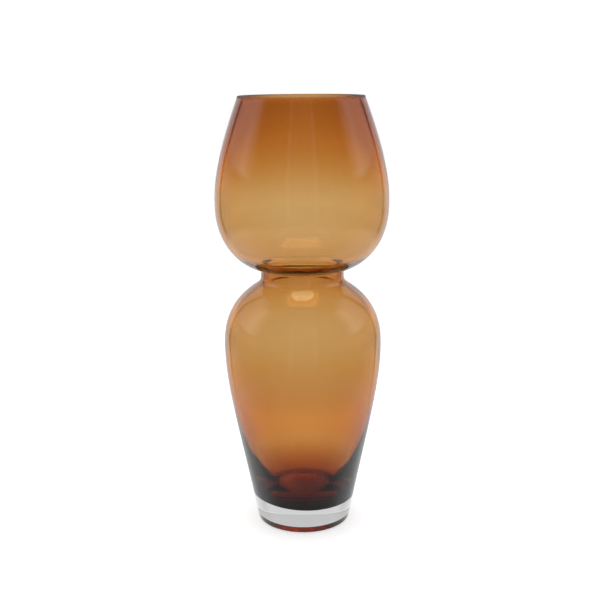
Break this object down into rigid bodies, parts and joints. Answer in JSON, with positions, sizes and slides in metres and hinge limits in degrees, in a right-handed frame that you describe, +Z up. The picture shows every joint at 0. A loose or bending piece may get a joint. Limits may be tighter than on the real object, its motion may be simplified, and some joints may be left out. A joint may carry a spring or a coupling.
{
  "type": "gourd vase",
  "caption": "Tall double-bulb gourd vase in cased glass: clear casing with a heavy clear foot over an amber lining, open through a pinched waist from mouth to floor.",
  "frame": {"origin": "centre of the flat ring that the foot stands on, on the axis of the blown form", "axes": "+Z up along the axis of the vase, +X to the right and +Y away from the viewer of the picture"},
  "size_m": [0.1584, 0.1584, 0.4],
  "materials": {
    "clear_glass": "fire-polished gloss",
    "amber_glass": "fire-polished gloss"
  },
  "bodies": {
    "root": {"clear_casing": "clear_glass", "amber_lining": "amber_glass"}
  },
  "joints": []
}
